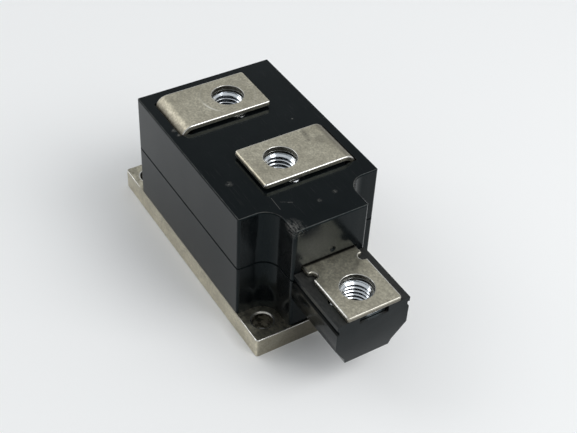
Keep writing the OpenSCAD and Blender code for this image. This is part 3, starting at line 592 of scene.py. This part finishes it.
def shaded_mesh(bm, name, crease):
    """Turns bm into a mesh that is shaded smooth up to an angle in degrees between faces."""
    mesh = bpy.data.meshes.new(name)
    bm.to_mesh(mesh)
    bm.free()
    mesh.shade_smooth()
    mesh.set_sharp_from_angle(angle=math.radians(crease))
    return mesh


def clean_mesh(node, merge):
    """A copy of a CAD node's mesh with its triangles joined into flat faces, and with corners
    closer than merge joined."""
    bm = bmesh.new()
    bm.from_mesh(nodes[node].data)
    bmesh.ops.remove_doubles(bm, verts=bm.verts, dist=merge)
    flat = math.radians(FLAT_ANGLE)
    bmesh.ops.dissolve_limit(bm, angle_limit=flat, verts=bm.verts, edges=bm.edges)
    return bm


def held(value, low, high):
    return min(max(value, low), high)


def on_terminal(line):
    """Whether an edge is on the rim of a terminal's hole."""
    return any(
        all((corner.co.xy - centre.xy).length < TERMINAL_REACH for corner in line.verts)
        for centre in terminal_at.values()
    )


def close_joint(bm, bottom, facing_down=-0.99, near=0.05 * MM):
    """Lets the lid's rim, the faces at its bottom that face down, reach the lower housing a little
    way inside the groove."""
    bm.normal_update()
    rim = [
        face for face in bm.faces
        if face.normal.z < facing_down and abs(face.calc_center_median().z - bottom) < near
    ]
    bmesh.ops.inset_region(
        bm, faces=rim, thickness=JOINT_DEPTH, use_even_offset=True, use_boundary=True,
    )
    for corner in {corner for face in rim for corner in face.verts}:
        corner.co.z -= JOINT_FILL


def rounded(node, radius, segments=3, edge=None, rim=None, joint=False, merge=MERGE, miter="ARC"):
    """Stands for a CAD node with its sharp edges rounded, in a material of their own where one is
    given. The rims of the terminals' holes may have a radius of their own."""
    bm = clean_mesh(node, merge)
    sharp = [
        line for line in bm.edges
        if len(line.link_faces) == 2 and line.calc_face_angle() > math.radians(SHARP_ANGLE)
    ]
    rims = [line for line in sharp if rim and on_terminal(line)]
    outline = [line for line in sharp if line not in rims]
    for lines, size in ((rims, rim), (outline, radius)):
        if lines:
            bmesh.ops.bevel(
                bm, geom=lines, offset=size, offset_type="OFFSET", segments=segments, profile=0.5,
                affect="EDGES", clamp_overlap=True, miter_outer=miter, material=1 if edge else -1,
            )
    low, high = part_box(node)
    for corner in bm.verts:
        corner.co = Vector(held(*along) for along in zip(corner.co, low, high))
    if joint:
        close_joint(bm, low.z)
    mesh = shaded_mesh(bm, node + "_dressed", CREASE_ANGLE)
    piece = show(mesh, node + "_dressed", slot_of[node], node)
    if edge:
        mesh.materials.append(edge)
    weighted = piece.modifiers.new("flat_faces", "WEIGHTED_NORMAL")
    weighted.keep_sharp = True


def thread_radius(rise, crest_r):
    """Radius of the nut's thread at a height within one pitch: crest, flank, root, flank."""
    _, crest_end, root_start, root_end = THREAD_ROWS
    share = (rise / THREAD_PITCH) % 1.0
    depth = THREAD_ROOT_R - crest_r
    if share < crest_end:
        return crest_r
    if share < root_start:
        return crest_r + depth * (share - crest_end) / (root_start - crest_end)
    if share < root_end:
        return THREAD_ROOT_R
    return THREAD_ROOT_R - depth * (share - root_end) / (1 - root_end)


def threaded_nut(bm, centre, corner_angle, crest_r):
    """Adds a hexagon nut with chamfered corners and a cut thread to bm."""
    bottom, top = centre.z - NUT_HEIGHT / 2, centre.z + NUT_HEIGHT / 2
    turns = int((top - bottom) / THREAD_PITCH) + 3
    rows = [(k + share) * THREAD_PITCH for k in range(turns) for share in THREAD_ROWS]
    last_row = len(rows) - 1
    sixth = math.radians(60)

    def at(radius, angle, z):
        x, y = centre.x + radius * math.cos(angle), centre.y + radius * math.sin(angle)
        return bm.verts.new((x, y, z))

    thread, shell = [], []
    for i in range(NUT_STEPS):
        share = i / NUT_STEPS
        angle = 2 * math.pi * share + corner_angle
        lead = THREAD_PITCH * (share - 1)
        column = []
        for row in rows:
            z = held(bottom + lead + row, bottom, top)
            countersink_r = crest_r + NUT_SINK - min(z - bottom, top - z)
            radius = max(thread_radius(z - bottom - lead, crest_r), countersink_r)
            column.append(at(radius, angle, z))
        thread.append(column)
        turn = sixth * (6 * share % 1) - sixth / 2
        hex_r = NUT_ACROSS / 2 / math.cos(turn)
        drop = max(hex_r - NUT_FACE_R, 0.0) * math.tan(NUT_CHAMFER)
        shell.append([at(NUT_FACE_R, angle, bottom), at(hex_r, angle, bottom + drop),
                      at(hex_r, angle, top - drop), at(NUT_FACE_R, angle, top)])

    for i in range(NUT_STEPS):
        last = i == NUT_STEPS - 1
        here, there = thread[i], thread[0 if last else i + 1]
        shift = len(THREAD_ROWS) if last else 0
        for j in range(last_row):
            ahead = [there[min(row + shift, last_row)] for row in (j, j + 1)]
            corners = [here[j], *ahead, here[j + 1]]
            if len(set(corners)) > 2:
                bm.faces.new(list(dict.fromkeys(corners)))
        out, beyond = shell[i], shell[0 if last else i + 1]
        for j in range(len(out) - 1):
            bm.faces.new([out[j], out[j + 1], beyond[j + 1], beyond[j]])
        bm.faces.new([here[-1], there[-1], beyond[-1], out[-1]])
        bm.faces.new([out[0], beyond[0], there[0], here[0]])


def terminal_nuts():
    """The three captive nuts with their threads, in the places of the CAD nuts."""
    bm = bmesh.new()
    for name, corner in NUT_CORNERS.items():
        crest_r = mounts[name]["dims"]["r_mm"] * MM
        threaded_nut(bm, terminal_at[name], math.radians(corner), crest_r)
    bmesh.ops.remove_doubles(bm, verts=bm.verts, dist=NUT_MERGE)
    bmesh.ops.recalc_face_normals(bm, faces=bm.faces)
    mesh = shaded_mesh(bm, "threaded_nuts", NUT_CREASE_ANGLE)
    show(mesh, "threaded_nuts", "zinc_steel", "terminal_nuts")


plating_edge = nickel_edge()
rounded("base_plate", PLATE_EDGE_R, edge=plating_edge)
rounded("lower_housing", LOWER_EDGE_R)
rounded("upper_housing", LID_EDGE_R, segments=2, joint=True)
for bar in ("common_busbar", "front_top_busbar", "rear_top_busbar"):
    rounded(bar, BAR_EDGE_R, segments=4, edge=plating_edge, rim=BAR_RIM_R, merge=BAR_MERGE)
for tab in ("rear_gate_tab", "rear_cathode_tab", "front_gate_tab", "front_cathode_tab"):
    rounded(tab, TAB_EDGE_R, segments=2, miter="SHARP")
terminal_nuts()

for node, cad in nodes.items():
    cad.data.materials.clear()
    cad.data.materials.append(materials[slot_of[node]])


# Studio

FLOOR_HALF = 5.0
FLOOR_CLOUD = 0.4

# The room's colour at two heights, and the way to its dim side with the reach and colour of that
ROOM_STOPS = ((0.22, tint(0.74, 0.75, 0.76)), (0.42, tint(0.50, 0.52, 0.53)))
DIM_WAY = (-0.66, -0.75, -0.9)
DIM_REACH = (0.25, 0.50)
DIM_COLOUR = tint(0.32, 0.32, 0.33)

# Square soft lights: place, width and power, and the point that they face
SOFTBOXES = {
    "right": ((0.60, 0.42, 0.75), 0.72, 5.6),
    "window": ((-0.70, -0.52, 0.68), 0.70, 2.1),
}
LIGHT_AIM = Vector((0, 0, 25 * MM))


def floor():
    """A wide pale floor that the base plate stands on."""
    s = new_shader("floor")
    cloud = s.noise(FLOOR_CLOUD, 2.0)
    s.set(Base_Color=s.mix(cloud, tint(0.93, 0.93, 0.93), tint(0.95, 0.95, 0.95)), Roughness=0.9)
    corners = [(x * FLOOR_HALF, y * FLOOR_HALF, 0) for x, y in ((-1, -1), (1, -1), (1, 1), (-1, 1))]
    mesh = bpy.data.meshes.new("floor")
    mesh.from_pydata(corners, [], [(0, 1, 2, 3)])
    mesh.materials.append(s.owner)
    piece = new_object("floor", mesh)


def surroundings():
    """A room that is pale near the floor, duller above and dim on one side, and plain colours
    without a film curve."""
    s = Shader(bpy.data.worlds.new("studio"), "Background", "Generated")
    ramp = s.node("ValToRGB", {0: s.axes()["Z"]})
    for stop, (position, colour) in zip(ramp.color_ramp.elements, ROOM_STOPS):
        stop.position, stop.color = position, colour
    dim = s.span(s.vector("DOT_PRODUCT", s.place, DIM_WAY, "Value"), *DIM_REACH)
    s.set(Color=s.mix(dim, ramp.outputs[0], DIM_COLOUR))
    bpy.context.scene.world = s.owner
    bpy.context.scene.view_settings.view_transform = "Standard"


def camera():
    """The photograph's own viewpoint."""
    a, e = VIEW_AZIMUTH, VIEW_ELEVATION
    back = Vector((math.sin(a) * math.cos(e), -math.cos(a) * math.cos(e), math.sin(e)))
    level = Vector((math.cos(a), math.sin(a), 0))
    rise = back.cross(level)
    right = math.cos(VIEW_ROLL) * level + math.sin(VIEW_ROLL) * rise
    up = math.cos(VIEW_ROLL) * rise - math.sin(VIEW_ROLL) * level
    place = back * VIEW_DISTANCE + up * ORIGIN_DOWN - right * ORIGIN_RIGHT
    turn = Matrix((right, up, back)).transposed().to_4x4()
    data = bpy.data.cameras.new("camera")
    data.sensor_width, data.lens = SENSOR, LENS
    data.clip_start, data.clip_end = CLIP_NEAR, CLIP_FAR
    eye = new_object("camera", data)
    eye.matrix_world = Matrix.Translation(place) @ turn
    bpy.context.scene.camera = eye


def softbox(name, place, width, power):
    """A square soft light that faces the part."""
    data = bpy.data.lights.new(name, "AREA")
    data.shape = "RECTANGLE"
    data.size, data.size_y = width, width
    data.energy = power
    lamp = new_object(name, data)
    lamp.location = place
    lamp.rotation_euler = (LIGHT_AIM - Vector(place)).to_track_quat("-Z", "Y").to_euler()


floor()
surroundings()
camera()
for name, (place, width, power) in SOFTBOXES.items():
    softbox(name, place, width, power)
